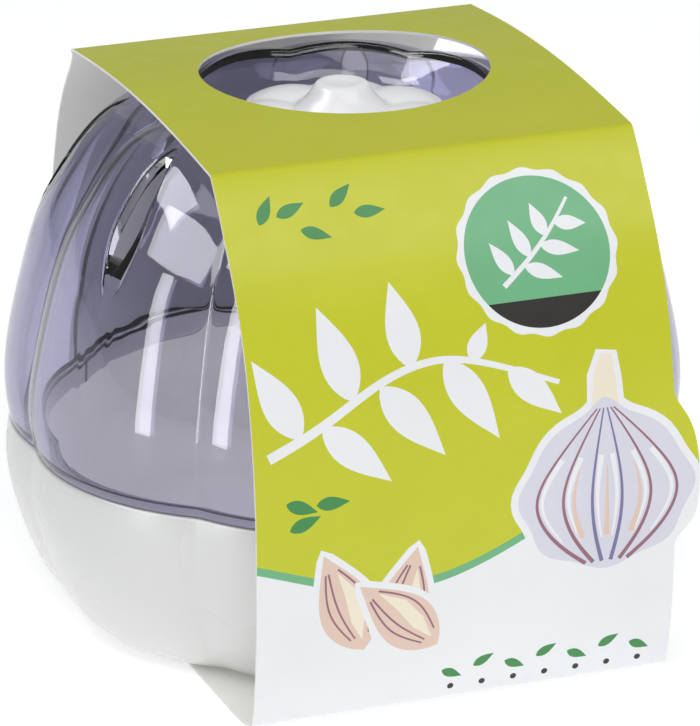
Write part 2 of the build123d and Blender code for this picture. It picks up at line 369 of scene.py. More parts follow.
def make_lid():
    SO, SI = 0.45, 0.6
    th, phi_c = columns(soft=SO)
    i_all, phi0 = lid_columns(SO)
    mid = PHASE + 22.5 + WEDGE * np.arange(8)
    th = np.radians((mid[:, None] + phi0[None, :]).ravel())
    phi = np.tile(np.radians(round_phi(phi0, SO)), 8)
    phi_in = np.tile(np.radians(round_phi(phi0, SI)), 8)
    outer = spline(LID_PROFILE, 160)
    inner = offset_curve(outer, LID_WALL)
    z_out = height_above(outer[outer[:, 1] > 40])
    z_in = height_above(inner[inner[:, 1] > 42])
    PR, PPHI, PDROP, a, b = slot_patch()
    R_LO, R_HI = 51.4, 33.2

    def slope(zf, R):
        return np.sqrt(1 + ((zf(R + 0.05) - zf(R - 0.05)) / 0.1) ** 2)

    def patch_rows(zf, sign, soft, depth):
        out = []
        # from the plain ring at R_LO into the patch
        for t in (0.4, 0.75):
            out.append(lobe_row(R_LO + (PR[0] - R_LO) * t,
                                phi0 + (PPHI[0] - phi0) * t,
                                zf(R_LO + (PR[0] - R_LO) * t), soft))
        for k in range(len(PR)):
            z = zf(PR[k]) - sign * PDROP[k] * depth * slope(zf, PR[k])
            out.append(lobe_row(PR[k], PPHI[k], z, soft))
        for t in (0.75, 0.4):
            out.append(lobe_row(R_HI + (PR[-1] - R_HI) * t,
                                phi0 + (PPHI[-1] - phi0) * t,
                                zf(R_HI + (PR[-1] - R_HI) * t), soft))
        return out

    rows = []
    # bottom edge, rounded, then the outer wall
    for r, z in arc((54.75, SEAM + 0.45), 0.42, -90, -5, 6):
        rows.append(lobe_row(r, phi0, z, SO))
    low = outer[(outer[:, 1] > SEAM + 0.7)
                & ((outer[:, 0] > R_LO + 0.2) | (outer[:, 1] < 45))]
    for r, z in low:
        rows.append(lobe_row(r, phi0, z, SO))
    rows.append(lobe_row(R_LO, phi0, z_out(R_LO), SO))
    out0 = len(rows) + 2
    rows += patch_rows(z_out, 1, SO, 1.0)
    for r in (33.2, 32.4, 31.6):
        rows.append(lobe_row(r, phi0, z_out(r), SO))
    r_start = lobed(30.9, phi)
    r_edge = 25.55
    crest_rows = []
    for t in np.linspace(0.0, 1.0, 10):
        r = r_start + (r_edge + 0.55 - r_start) * t
        crest_rows.append((r, z_out(equiv(r, phi))))
    for r, z in crest_rows:
        rows.append(ring(r, z, th))
    z_edge = crest_rows[-1][1]
    # rounded inner edge of the crest, then the crater wall
    for dr, dz in ((0.25, 0.06), (0.42, 0.2), (0.55, 0.45), (0.72, 0.85)):
        rows.append(ring(r_edge + 0.55 - dr, z_edge - dz, th))
    r_last = r_edge + 0.55 - 0.72
    z_last = z_edge - 0.85
    wall = spline([(r_last, 0.0), (24.45, 0.18), (23.0, 0.5), (22.1, 0.78),
                   (21.75, 0.95)], 14)
    for r, t in wall[1:]:
        rows.append(ring(r, z_last + (79.25 - z_last) * t, th))
    for r, z in ((21.65, 79.02), (21.4, 78.93), (21.0, 78.9), (18.0, 78.9),
                 (13.5, FLOOR_Z), (13.12, FLOOR_Z - 0.06),
                 (13.0, FLOOR_Z - 0.25), (13.0, UNDER_Z + 0.25),
                 (13.12, UNDER_Z + 0.06), (13.5, UNDER_Z), (18.0, UNDER_Z),
                 (22.2, UNDER_Z), (23.4, UNDER_Z + 0.05),
                 (23.85, UNDER_Z + 0.3), (24.1, UNDER_Z + 0.8),
                 (24.2, 78.4), (24.25, 79.25)):
        rows.append(ring(r, z, th))
    # the crater's outer cone up to the roof of the hollow
    cone = lambda r: 79.25 + (r - 24.25) * 1.43
    r_lo = np.full_like(phi, 24.3)
    r_hi = np.full_like(phi, 30.5)
    for _ in range(40):
        r_mid = (r_lo + r_hi) / 2
        above = z_in(equiv(r_mid, phi_in)) > cone(r_mid)
        r_lo = np.where(above, r_mid, r_lo)
        r_hi = np.where(above, r_hi, r_mid)
    r_x = (r_lo + r_hi) / 2
    for t in np.linspace(0.15, 0.85, 6):
        r = 24.25 + (r_x - 24.25) * t
        rows.append(ring(r, cone(r), th))
    # fillet at the roof
    for a_, b_ in ((0.93, 0.02), (0.985, 0.12)):
        r = 24.25 + (r_x - 24.25) * a_
        rows.append(ring(r + 0.1 * b_, cone(r) - 0.05, th))
    r_roof = lobed(31.4, phi_in)
    for t in (0.08, 0.2, 0.35, 0.5, 0.65, 0.8, 0.92, 1.0):
        r = r_x + (r_roof - r_x) * t
        rows.append(ring(r, z_in(equiv(r, phi_in)) - 0.05 * (1 - t), th))
    rows.append(lobe_row(32.3, phi0, z_in(32.3), SI))
    rows.append(lobe_row(R_HI, phi0, z_in(R_HI), SI))
    in_rows = patch_rows(z_in, -1, SI, 0.6)[::-1]
    in_first = len(rows) + 2                     # the patch's top row
    rows += in_rows
    rows.append(lobe_row(R_LO, phi0, z_in(R_LO), SI))
    down = inner[((inner[:, 0] > R_LO + 0.15) | (inner[:, 1] < 45))
                 & (inner[:, 1] > SEAM + 1.6)][::-1]
    for r, z in down:
        rows.append(lobe_row(r, phi0, z, SI))
    # ledge and lip
    for r, z in ((52.95, 32.35), (52.7, 32.1), (52.4, 32.0), (51.8, 32.0),
                 (51.6, 31.95), (51.5, 31.75), (51.5, 28.3), (51.6, 28.08),
                 (51.8, 28.0), (52.3, 28.0), (52.5, 28.08), (52.6, 28.3),
                 (52.6, 30.7), (52.75, 30.93), (53.0, 31.0)):
        rows.append(lobe_row(r, phi0, z, SI))
    n = N_COL
    half = PER_LOBE // 2
    oa, ob = out0 + a, out0 + b
    npatch = len(PR)
    ib, ia = in_first + (npatch - 1 - b), in_first + (npatch - 1 - a)

    def skip(i, j):
        c = j % PER_LOBE - half
        return -K <= c < K and (oa <= i < ob or ib <= i < ia)

    extra = []
    for k in range(8):
        base = k * PER_LOBE + half
        for row in range(a, b):
            o, o2 = out0 + row, out0 + row + 1
            q = in_first + (npatch - 1 - row)
            q2 = q - 1
            for c, flip in ((base - K, False), (base + K, True)):
                f = (o * n + c, o2 * n + c, q2 * n + c, q * n + c)
                extra.append(f[::-1] if flip else f)
        for c in range(base - K, base + K):
            q = in_first + (npatch - 1 - a)
            extra.append((oa * n + c, q * n + c, q * n + c + 1, oa * n + c + 1))
            q = in_first + (npatch - 1 - b)
            extra.append((ob * n + c, ob * n + c + 1, q * n + c + 1, q * n + c))
    ob_ = rings_to_mesh("lid_dome", rows, loop=True, skip=skip, extra=extra)
    return ob_


# ---------------------------------------------------------------------------
# stem cap
# ---------------------------------------------------------------------------
CAP_C = 12.0
PETAL = [(20.15, 79.5), (20.5, 80.2), (20.1, 81.25), (18.9, 82.2),
         (17.2, 83.0), (15.2, 83.55), (13.4, 83.76), (12.6, 83.78)]
STEM = [(14.8, 80.6), (12.6, 81.5), (10.6, 82.2), (8.9, 83.0), (7.5, 83.9),
        (6.4, 84.9), (5.5, 85.9), (4.9, 86.8), (4.5, 87.4)]


def make_cap():
    th, phi = columns(soft=1.6)
    petal = spline(PETAL[1:], 60)
    zp = height_above(petal)
    stem = spline(STEM, 40)
    zs = height_above(stem)
    r_out = lobed(20.5, phi, CAP_C)
    rows = []
    # stem top, dished
    for r, z in spline([(1.2, 87.72), (2.2, 87.86), (3.0, 87.99), (3.7, 87.95),
                        (4.2, 87.75), (4.5, 87.4)], 12):
        rows.append(ring(r, z, th))

    def top(r):
        e = np.clip(equiv(r, phi, CAP_C), 12.6, 20.5)
        a, b = zp(e), zs(np.clip(r, 4.5, 14.8)) - np.maximum(r - 14.8, 0) * 3
        k = 0.45
        h = np.clip(0.5 + 0.5 * (a - b) / k, 0, 1)
        return b * (1 - h) + a * h + k * h * (1 - h)

    for t in np.r_[np.linspace(0.235, 0.7, 26), np.linspace(0.72, 0.955, 18)]:
        w = smoothstep(t, 0.35, 0.75)
        r = t * (20.5 * (1 - w) + r_out * w)
        rows.append(ring(r, top(r), th))
    for k_, (dr, z) in enumerate(((0.97, 81.15), (0.99, 80.85), (1.0, 80.45),
                                  (1.0, 80.1), (0.992, 79.8), (0.975, 79.6),
                                  (0.955, 79.5))):
        zz = np.minimum(z, top(r_out * min(dr, 0.985)))
        rows.append(ring(r_out * dr, zz, th))
    # underside
    for r, z in ((16.7, 79.5), (16.5, 79.65), (16.35, 80.1), (15.7, 80.75),
                 (15.1, 80.98), (14.9, 80.9), (14.8, 80.6), (14.8, 79.1),
                 (14.65, 78.9), (12.95, 78.9), (12.7, 78.75), (12.7, 75.3),
                 (12.5, 74.85), (12.1, 74.6), (11.1, 74.6), (10.9, 74.8),
                 (10.9, 80.2), (10.4, 80.8), (6.0, 82.4), (3.4, 84.6),
                 (2.6, 86.0)):
        rows.append(ring(r, z, th))
    return rings_to_mesh("stem_cap_petals", rows[::-1], first=(0, 0, 86.05),
                         last=(0, 0, 87.7))


# ---------------------------------------------------------------------------
# materials
# ---------------------------------------------------------------------------
def srgb(r, g, b):
    def lin(v):
        v /= 255.0
        return v / 12.92 if v <= 0.04045 else ((v + 0.055) / 1.055) ** 2.4
    return (lin(r), lin(g), lin(b), 1.0)


class Nodes:
    """Small helper for building a material's node tree."""

    def __init__(self, name):
        self.mat = bpy.data.materials.new(name)
        self.mat.use_nodes = True
        self.t = self.mat.node_tree
        self.t.nodes.clear()
        self.out = self.t.nodes.new("ShaderNodeOutputMaterial")
        self.bsdf = self.t.nodes.new("ShaderNodeBsdfPrincipled")
        self.t.links.new(self.bsdf.outputs[0], self.out.inputs["Surface"])
        self.coord = self.t.nodes.new("ShaderNodeTexCoord")

    def new(self, kind, **values):
        n = self.t.nodes.new(kind)
        for k, v in values.items():
            if k in n.inputs:
                n.inputs[k].default_value = v
            else:
                setattr(n, k, v)
        return n

    def link(self, a, b):
        self.t.links.new(a, b)

    def set(self, **values):
        for k, v in values.items():
            self.bsdf.inputs[k.replace("_", " ")].default_value = v

    def noise(self, scale, detail=3.0, rough=0.5, stretch=(1, 1, 1)):
        m = self.new("ShaderNodeMapping")
        m.inputs["Scale"].default_value = stretch
        self.link(self.coord.outputs["Object"], m.inputs["Vector"])
        n = self.new("ShaderNodeTexNoise")
        n.inputs["Scale"].default_value = scale
        n.inputs["Detail"].default_value = detail
        n.inputs["Roughness"].default_value = rough
        self.link(m.outputs[0], n.inputs["Vector"])
        return n.outputs["Fac"]

    def ramp(self, fac, stops):
        r = self.new("ShaderNodeValToRGB")
        while len(r.color_ramp.elements) > 2:
            r.color_ramp.elements.remove(r.color_ramp.elements[-1])
        for i, (pos, col) in enumerate(stops):
            e = r.color_ramp.elements[i] if i < 2 else r.color_ramp.elements.new(pos)
            e.position = pos
            e.color = col
        self.link(fac, r.inputs["Fac"])
        return r.outputs["Color"]

    def map(self, fac, a, b, c, d):
        m = self.new("ShaderNodeMapRange")
        for i, v in enumerate((a, b, c, d), 1):
            m.inputs[i].default_value = v
        self.link(fac, m.inputs[0])
        return m.outputs[0]

    def mix(self, fac, a, b, mode="MIX"):
        m = self.new("ShaderNodeMix")
        m.data_type = "RGBA"
        m.blend_type = mode
        for sock, v in ((m.inputs["Factor"], fac), (m.inputs["A"], a), (m.inputs["B"], b)):
            pass
        ins = [s for s in m.inputs if s.enabled]
        for s, v in zip(ins, (fac, a, b)):
            if isinstance(v, bpy.types.NodeSocket):
                self.link(v, s)
            else:
                s.default_value = v
        return [s for s in m.outputs if s.enabled][0]

    def bump(self, height, strength, distance):
        b = self.new("ShaderNodeBump")
        b.inputs["Strength"].default_value = strength
        b.inputs["Distance"].default_value = distance
        self.link(height, b.inputs["Height"])
        self.link(b.outputs[0], self.bsdf.inputs["Normal"])
        return b


def white_plastic(name, lo=(217, 217, 216), hi=(223, 223, 222), painted_glow=0.0):
    m = Nodes(name)
    broad = m.noise(14.0, 2.0)
    col = m.ramp(broad, [(0.3, srgb(*lo)), (0.7, srgb(*hi))])
    m.link(col, m.bsdf.inputs["Base Color"])
    m.link(m.map(m.noise(40.0, 2.0), 0.3, 0.7, 0.25, 0.28), m.bsdf.inputs["Roughness"])
    m.bump(m.noise(420.0, 2.0), 0.012, 0.0002)
    m.set(Subsurface_Weight=0.12, Subsurface_Scale=0.003)
    m.bsdf.inputs["Subsurface Radius"].default_value = (1.0, 0.95, 0.9)
    if painted_glow:
        # painted glow: emission stands in for the light that the thin white wall lets through to
        # this side
        m.bsdf.inputs["Emission Color"].default_value = (1.0, 0.955, 0.91, 1)
        m.set(Emission_Strength=painted_glow)
    return m.mat


def clear_plastic(name, density=290.0, tint=(0.20, 0.18, 0.48, 1.0)):
    m = Nodes(name)
    m.set(Transmission_Weight=1.0, IOR=1.52)
    m.bsdf.inputs["Base Color"].default_value = (1, 1, 1, 1)
    m.link(m.map(m.noise(60.0, 2.0), 0.3, 0.7, 0.004, 0.02), m.bsdf.inputs["Roughness"])
    v = m.new("ShaderNodeVolumeAbsorption")
    v.inputs["Color"].default_value = tint
    v.inputs["Density"].default_value = density
    m.link(v.outputs[0], m.out.inputs["Volume"])
    return m.mat


# ---------------------------------------------------------------------------
# card sleeve: a flat sheet, folded round the bulb
# ---------------------------------------------------------------------------
S_FRONT = [(-36.1, 87.6), (-39.3, 83.5), (-42.0, 79.4), (-44.7, 75.4),
           (-47.5, 70.6), (-49.8, 65.8), (-51.4, 61.6), (-53.5, 53.5),
           (-55.0, 44.4), (-55.75, 36.6), (-55.85, 25.0), (-55.5, 14.0),
           (-54.6, 7.0), (-53.4, 1.6)]
S_BACK = [(32.0, 88.2), (36.9, 84.6), (41.3, 80.4), (44.6, 76.0),
          (47.7, 70.6), (49.9, 65.8), (51.5, 61.6), (53.5, 53.5),
          (55.0, 44.4), (55.7, 36.6), (55.85, 25.0), (55.4, 14.0),
          (54.2, 7.0), (52.6, 1.6)]
S_TOP = [(-36.1, 87.6), (-20.0, 89.0), (0.0, 89.8), (18.0, 89.3), (32.0, 88.2)]
S_BOTTOM = [(-53.4, 1.6), (-49.5, 0.35), (-45.5, 0.0), (0.0, 0.0)]
S_BOTTOM2 = [(0.0, 0.0), (45.5, 0.0), (49.0, 0.35), (52.6, 1.6)]
HALF_W = 35.5
WIN_A, WIN_B, WIN_X, WIN_Y = 24.0, 22.2, 1.2, 1.9


def poly_resample(pts, step):
    p = np.array(pts, float)
    d = np.r_[0, np.cumsum(np.linalg.norm(np.diff(p, axis=0), axis=1))]
    n = max(2, int(round(d[-1] / step)) + 1)
    t = np.linspace(0, d[-1], n)
    return np.stack([np.interp(t, d, p[:, k]) for k in range(p.shape[1])], 1)


def sleeve_path():
    """The sleeve's outer line in the y-z plane, from the middle of the
    bottom round the front, over the top and down the back, with small round
    folds, and where each panel starts along it."""
    front = spline(S_FRONT, 400)
    back = spline(S_BACK, 400)
    top = spline(S_TOP, 300)
    bot = poly_resample(S_BOTTOM, 0.3)
    bot2 = poly_resample(S_BOTTOM2, 0.3)
    panels = [bot[::-1], front[::-1], top, back, bot2[::-1]]
    steps = (6.0, 1.5, 1.8, 1.5, 6.0)
    cut = 0.62

    def trim(p, head, tail):
        d = np.r_[0, np.cumsum(np.linalg.norm(np.diff(p, axis=0), axis=1))]
        a, b = (cut if head else 0.0), d[-1] - (cut if tail else 0.0)
        return d, a, b
    out, mark, corner = [], [], []
    prev_end = None
    for k, (p, st) in enumerate(zip(panels, steps)):
        d, a, b = trim(p, k > 0, k < len(panels) - 1)
        n = max(2, int(math.ceil((b - a) / st)) + 1)
        t = np.linspace(a, b, n)
        if k in (0, 4):
            # the bottom turns up near its outer edge, so it's finer there
            w = np.linspace(0, 1, 13)
            w = 1 - (1 - w) ** 1.6 if k == 0 else w ** 1.6
            t = a + (b - a) * w
        q = np.stack([np.interp(t, d, p[:, 0]), np.interp(t, d, p[:, 1])], 1)
        if prev_end is not None:
            c = p[0]
            p0, p2 = prev_end, q[0]
            for u in (0.17, 0.33, 0.5, 0.67, 0.83):
                out.append((1 - u) ** 2 * p0 + 2 * u * (1 - u) * c + u * u * p2)
        mark.append(len(out))
        out += list(q)
        prev_end = q[-1]
    out = np.array(out)
    s = np.r_[0, np.cumsum(np.linalg.norm(np.diff(out, axis=0), axis=1))]
    return out, s, [s[m] for m in mark] + [s[-1]]


PATH, PATH_S, PANEL = sleeve_path()
PATH_N = np.gradient(PATH, PATH_S, axis=0)
PATH_N = np.stack([PATH_N[:, 1], -PATH_N[:, 0]], 1)
PATH_N /= np.linalg.norm(PATH_N, axis=1)[:, None]
if (PATH_N * (PATH - np.array([0, 45.0]))).sum() < 0:
    PATH_N = -PATH_N
# panel 1 is the front and runs up, 2 the top, 3 the back and runs down
S_FOLD_FRONT = PANEL[2] - 0.6


def front_t(x, t):
    """Sheet point from x and the length down the front from its top fold."""
    return (x, S_FOLD_FRONT - t)


def back_t(x, t):
    return (-x, PANEL[3] - 0.6 + t)


def s_of_z(z, panel):
    m = (PATH_S >= PANEL[panel] - 0.01) & (PATH_S <= PANEL[panel + 1] + 0.01)
    zz, ss = PATH[m, 1], PATH_S[m]
    o = np.argsort(zz)
    return float(np.interp(z, zz[o], ss[o]))


def s_of_y_top(y):
    m = (PATH_S >= PANEL[2] - 0.01) & (PATH_S <= PANEL[3] - 0.6)
    return float(np.interp(y, PATH[m, 0], PATH_S[m]))


def sheet_outline():
    """Outline of the flat sheet, with the tab and the narrower back."""
    L = PATH_S[-1]
    right = [(HALF_W, 0.0), (HALF_W, s_of_z(22.0, 1))]
    tab = [(35.5, 23.2), (35.9, 24.0), (38.4, 26.9), (39.6, 32.0),
           (39.4, 38.5), (37.7, 44.5), (35.7, 48.0), (35.45, 48.8)]
    for x, z in spline(tab, 60):
        right.append((max(x, HALF_W), s_of_z(z, 1)))
    right.append((HALF_W, s_of_z(50.0, 1)))
    back = [(HALF_W, s_of_z(87.7, 3))]
    back += [(x, s_of_z(z, 3)) for x, z in spline(
        [(35.1, 87.4), (34.05, 84.6), (33.55, 80.4), (33.3, 72.0),
         (32.95, 61.6), (33.0, 52.0)], 28)]
    back += [(HALF_W, s_of_z(3.5, 3)), (HALF_W, L)]
    right += back
    left = [(-HALF_W, 0.0)] + [(-x, s_) for x, s_ in back]
    return right + left[::-1]


def blob(cx, cy, rx, ry, rot=0.0, n=40, wob=()):
    a = np.linspace(0, 2 * math.pi, n, endpoint=False)
    k = np.ones_like(a)
    for f, amp, ph in wob:
        k += amp * np.cos(f * a + ph)
    x, y = rx * k * np.cos(a), ry * k * np.sin(a)
    c, s_ = math.cos(math.radians(rot)), math.sin(math.radians(rot))
    return [(cx + c * p - s_ * q, cy + s_ * p + c * q) for p, q in zip(x, y)]


def leaf(cx, cy, length, width, rot, n=16):
    """A pointed leaf from its base (cx, cy), rot from the sheet's x."""
    t = np.linspace(0, 1, n)
    w = width / 2 * np.sin(math.pi * t ** 0.8) * (1 - 0.25 * t)
    up = [(length * a, b) for a, b in zip(t, w)]
    dn = [(length * a, -b) for a, b in zip(t[::-1], w[::-1])][1:-1]
    c, s_ = math.cos(math.radians(rot)), math.sin(math.radians(rot))
    return [(cx + c * p - s_ * q, cy + s_ * p + c * q) for p, q in up + dn]


def stroke(pts, w0, w1=None, n=40):
    """A band along a curve, w0 wide at its start and w1 at its end."""
    w1 = w0 if w1 is None else w1
    p = spline(pts, n)
    g = np.gradient(p, axis=0)
    nn = np.stack([-g[:, 1], g[:, 0]], 1)
    nn /= np.linalg.norm(nn, axis=1)[:, None]
    w = np.linspace(w0, w1, n)[:, None] / 2
    return [tuple(q) for q in p + nn * w] + [tuple(q) for q in (p - nn * w)[::-1]]


def grow(poly, d):
    """Polygon pushed outward by d along its vertex normals."""
    p = np.array(poly)
    area2 = (p[:, 0] * np.roll(p[:, 1], -1) - np.roll(p[:, 0], -1) * p[:, 1]).sum()
    g = np.roll(p, -1, 0) - np.roll(p, 1, 0)
    nn = np.stack([g[:, 1], -g[:, 0]], 1)
    nn /= np.maximum(np.linalg.norm(nn, axis=1), 1e-9)[:, None]
    return [tuple(q) for q in p + nn * (d if area2 > 0 else -d)]


INKS = ("lime", "white", "emerald", "green", "ink", "cream", "blush",
        "mauve", "mist", "slate")


def bulb(cx, cy, r):
    """A drawn garlic bulb with a white border, as (ink, polygon) pairs in
    front-panel coordinates; y runs down."""
    body = []
    for a in np.linspace(0, 2 * math.pi, 72, endpoint=False):
        # wide and low, drawn in towards the stalk at the top
        k = 1.0 + 0.035 * math.cos(8 * a)
        x, y = math.cos(a), math.sin(a)
        pinch = max(0.0, -y) ** 3
        body.append((cx + r * k * x * (1 - 0.42 * pinch),
                     cy + r * 0.86 * k * (y - 0.18 * pinch)))
    stalk = [(cx - 0.16 * r, cy - 0.85 * r), (cx - 0.12 * r, cy - 1.3 * r),
             (cx - 0.02 * r, cy - 1.52 * r), (cx + 0.1 * r, cy - 1.5 * r),
             (cx + 0.13 * r, cy - 1.25 * r), (cx + 0.17 * r, cy - 0.85 * r)]
    out = [("white", grow(body, 1.25)), ("white", grow(stalk, 1.1)),
           ("cream", stalk), ("mist", body)]
    for k in (-0.8, -0.5, -0.17, 0.17, 0.5, 0.8):
        top = (cx + 0.12 * r * k, cy - 0.93 * r)
        line = [top, (cx + r * k * 0.72, cy - 0.42 * r),
                (cx + r * k * 1.02, cy + 0.05 * r),
                (cx + r * k * 0.72, cy + 0.52 * r),
                (cx + r * k * 0.3, cy + 0.8 * r)]
        out.append(("mauve" if abs(k) > 0.3 else "slate",
                    stroke(line, 0.25, 0.7)))
        side = [(x + 0.9 * (1 if k > 0 else -1) * -1, y) for x, y in line[1:4]]
        out.append(("white", stroke(side, 0.9, 0.3)))
    for k in (-0.35, 0.0, 0.35):
        line = [(cx + k * r * 0.9, cy - 0.3 * r), (cx + k * r * 1.1, cy + 0.1 * r),
                (cx + k * r * 0.8, cy + 0.5 * r)]
        out.append(("blush", stroke(line, 0.2, 1.0)))
    return out


def one_clove(cx, cy, size, rot):
    shape = leaf(cx, cy, size, size * 0.56, rot, 20)
    out = [("white", grow(shape, 1.1)), ("blush", shape)]
    c, s_ = math.cos(math.radians(rot)), math.sin(math.radians(rot))

    def at(u, v):
        return (cx + c * u * size - s_ * v * size, cy + s_ * u * size + c * v * size)
    out.append(("cream", [at(u, v) for u, v in (
        (0.1, 0.02), (0.3, 0.12), (0.55, 0.15), (0.8, 0.05), (0.55, 0.03),
        (0.3, -0.01))]))
    for v in (-0.15, -0.07, 0.19):
        out.append(("mauve", stroke([at(0.14, v * 0.5), at(0.45, v),
                                     at(0.82, v * 0.35)], 0.3, 0.35, 16)))
    return out


def artwork():
    """(ink, sheet polygon) in painting order. All of it is plain ornament."""
    art = []
    L = PATH_S[-1]
    xs = np.linspace(-44.0, 44.0, 60)
    edge = 65.0 + 5.5 * np.sin((xs + 30.0) / 71.0 * 2 * math.pi * 0.85) - 0.06 * xs
    low = S_FOLD_FRONT - edge

    def field(grow_by):
        return [(x, q + grow_by) for x, q in zip(xs, low)] + \
            [(44.0, -1.0), (-44.0, -1.0)]
    art.append(("emerald", field(2.3)))
    art.append(("white", field(0.9)))
    # the back: white below a level wave
    edge_b = PANEL[4] - 30.0 + 3.0 * np.sin(xs / 71.0 * 2 * math.pi)
    for ink, g in (("emerald", 2.3), ("white", 0.9)):
        art.append((ink, [(x, q - g) for x, q in zip(xs, edge_b)]
                    + [(44.0, L + 1), (-44.0, L + 1)]))

    def put(ink, poly, where=front_t):
        art.append((ink, [where(x, t) for x, t in poly]))
    # round emerald medallion with a white sprig, upper right
    mx, mt = 15.0, 18.5
    put("white", blob(mx, mt, 13.4, 13.4, n=192, wob=((16, 0.018, 0),)))
    put("emerald", blob(mx, mt, 12.2, 12.2, n=128))
    put("ink", [(mx + 12.2 * math.cos(a), mt + 12.2 * math.sin(a)) for a in
                np.linspace(math.radians(38), math.radians(142), 30)])
    put("white", stroke([(mx - 6.5, mt + 5.0), (mx - 1.5, mt + 1.0),
                         (mx + 3.0, mt - 3.5), (mx + 6.6, mt - 8.0)], 0.9, 0.5))
    for u, v, ln, rot in ((-4.6, 3.4, 6.4, -120), (-1.4, 0.9, 6.8, -112),
                          (1.8, -2.2, 5.8, -106), (-2.6, 2.2, 6.6, 22),
                          (0.6, -0.8, 6.6, 14), (3.6, -4.2, 5.4, 8)):
        put("white", leaf(mx + u, mt + v, ln, 2.7, rot))
    # big white sprig across the middle, from the left edge
    stem = [(-33.0, 45.5), (-24.0, 41.5), (-14.0, 36.0), (-4.0, 33.5),
            (7.0, 36.0), (16.0, 39.5)]
    put("white", stroke(stem, 1.7, 0.8))
    for x, t, ln, w, rot in ((-27.5, 43.0, 15.0, 6.4, -118),
                             (-18.5, 38.2, 16.0, 6.8, -106),
                             (-8.5, 34.2, 14.0, 6.2, -98),
                             (1.5, 34.4, 6.5, 3.6, -62),
                             (-24.0, 41.6, 15.0, 6.0, 42),
                             (-14.0, 36.4, 16.0, 6.6, 50),
                             (-3.0, 33.6, 16.0, 6.4, 58),
                             (7.5, 36.2, 12.0, 5.2, 44)):
        put("white", leaf(x, t, ln, w, rot))
    # small dark green leaves by the left edge and under the fold
    for x, t, rot in ((-29.5, 9.0, -60), (-26.5, 8.0, -20), (-23.0, 10.5, 20),
                      (-17.5, 7.4, -40), (-13.8, 8.8, 0)):
        put("green", leaf(x, t, 5.2, 2.3, rot))
    for x, t, rot in ((-30.5, 53.0, 20), (-30.0, 57.5, -20), (-25.5, 53.8, 0)):
        put("green", leaf(x, t, 5.6, 2.5, rot))
    # a drawn bulb that stands over the right edge on the tab
    for ink, poly in bulb(23.6, 58.4, 14.8):
        put(ink, poly)
    # three drawn cloves lower left
    for cx, ct, size, rot in ((-17.5, 79.5, 18.5, -112), (-13.0, 80.5, 18.0, -76),
                              (-5.0, 80.5, 18.0, -138)):
        for ink, poly in one_clove(cx, ct, size, rot):
            put(ink, poly)
    # a row of small leaves and dots along the bottom
    for k in range(7):
        x = -4.0 + 5.4 * k
        put("green", leaf(x, 85.6, 3.9, 1.8, -28 if k % 2 else 24))
        put("ink", blob(x + 1.8, 88.9, 0.55, 0.55, n=10))
    # back: a bare white label with an emerald rim and a small sprig
    lab = []
    for cx, ct, a0 in ((20, 16, -90), (20, 44, 0), (-20, 44, 90), (-20, 16, 180)):
        for a in np.radians(np.linspace(a0, a0 + 90, 8)):
            lab.append((cx + 4 * math.cos(a), ct + 4 * math.sin(a)))
    put("emerald", grow(lab, 0.8), back_t)
    put("white", lab, back_t)
    put("green", stroke([(-13.0, 33.0), (0.0, 29.0), (13.0, 27.0)], 0.8, 0.4),
        back_t)
    for x, t, rot in ((-9.0, 31.8, -60), (-3.0, 30.0, -55), (3.0, 28.5, -50),
                      (-7.0, 31.2, 38), (-1.0, 29.4, 34), (5.0, 28.2, 30)):
        put("emerald", leaf(x, t, 6.0, 2.8, rot), back_t)
    return art


def inside(poly, pts):
    """Even-odd test of many points."""
    p = np.array(poly)
    q = np.roll(p, -1, 0)
    x, y = pts[:, 0][:, None], pts[:, 1][:, None]
    c = (p[:, 1] > y) != (q[:, 1] > y)
    with np.errstate(divide="ignore", invalid="ignore"):
        xi = p[:, 0] + (y - p[:, 1]) * (q[:, 0] - p[:, 0]) / (q[:, 1] - p[:, 1])
    return ((c & (x < xi)).sum(1) % 2) == 1


